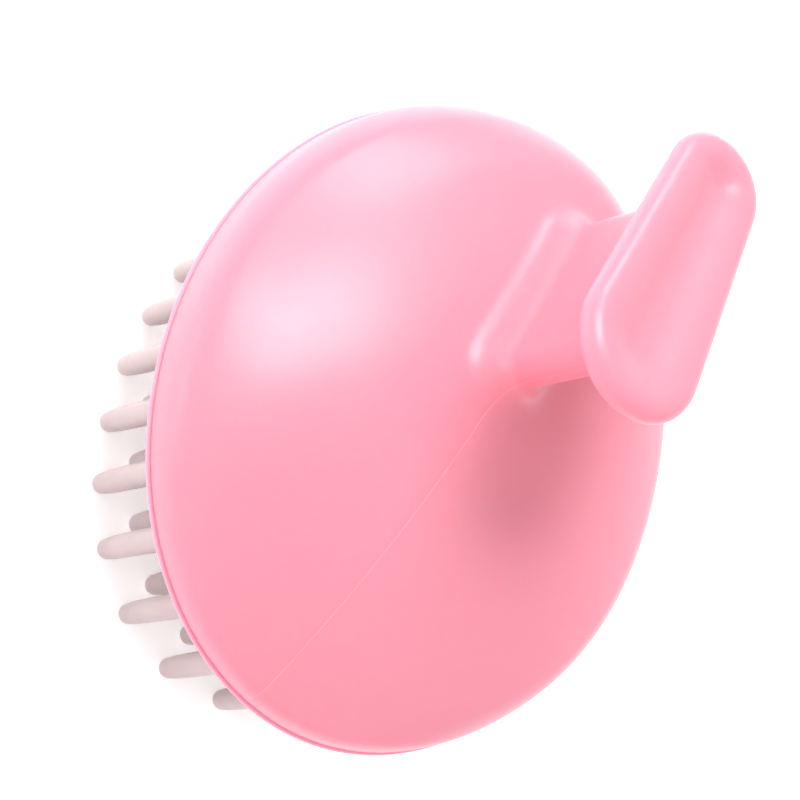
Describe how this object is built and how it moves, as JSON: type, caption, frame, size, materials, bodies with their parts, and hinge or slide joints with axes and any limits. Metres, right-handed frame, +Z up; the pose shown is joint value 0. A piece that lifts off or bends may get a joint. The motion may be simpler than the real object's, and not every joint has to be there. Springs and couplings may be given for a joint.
{
  "type": "scalp massager brush",
  "caption": "Hand-held scalp massager: oval domed shell with a dished finger rest on a thin neck, over a base plate and a soft pad of rounded teeth.",
  "frame": {"origin": "under the middle of the oval base, in the plane that the tooth tips touch", "axes": "+Z up from the teeth to the finger rest, +X along the oval towards the end that the finger rest leans to"},
  "size_m": [0.08, 0.0662, 0.0614],
  "materials": {
    "shell": "glossy, slightly translucent pink moulded plastic",
    "plate": "glossy pink moulded plastic",
    "bristles": "soft elastomer, pearly and slightly translucent"
  },
  "bodies": {
    "brush_head": {"base_plate": "plate", "bristle_pad": "bristles"},
    "handle": {"handle_shell": "shell"}
  },
  "joints": [
    {"name": "shell_lift_off", "type": "slide", "parent": "brush_head", "child": "handle", "axis": [0, 0, 1], "range_m": [0, 0.03]}
  ]
}
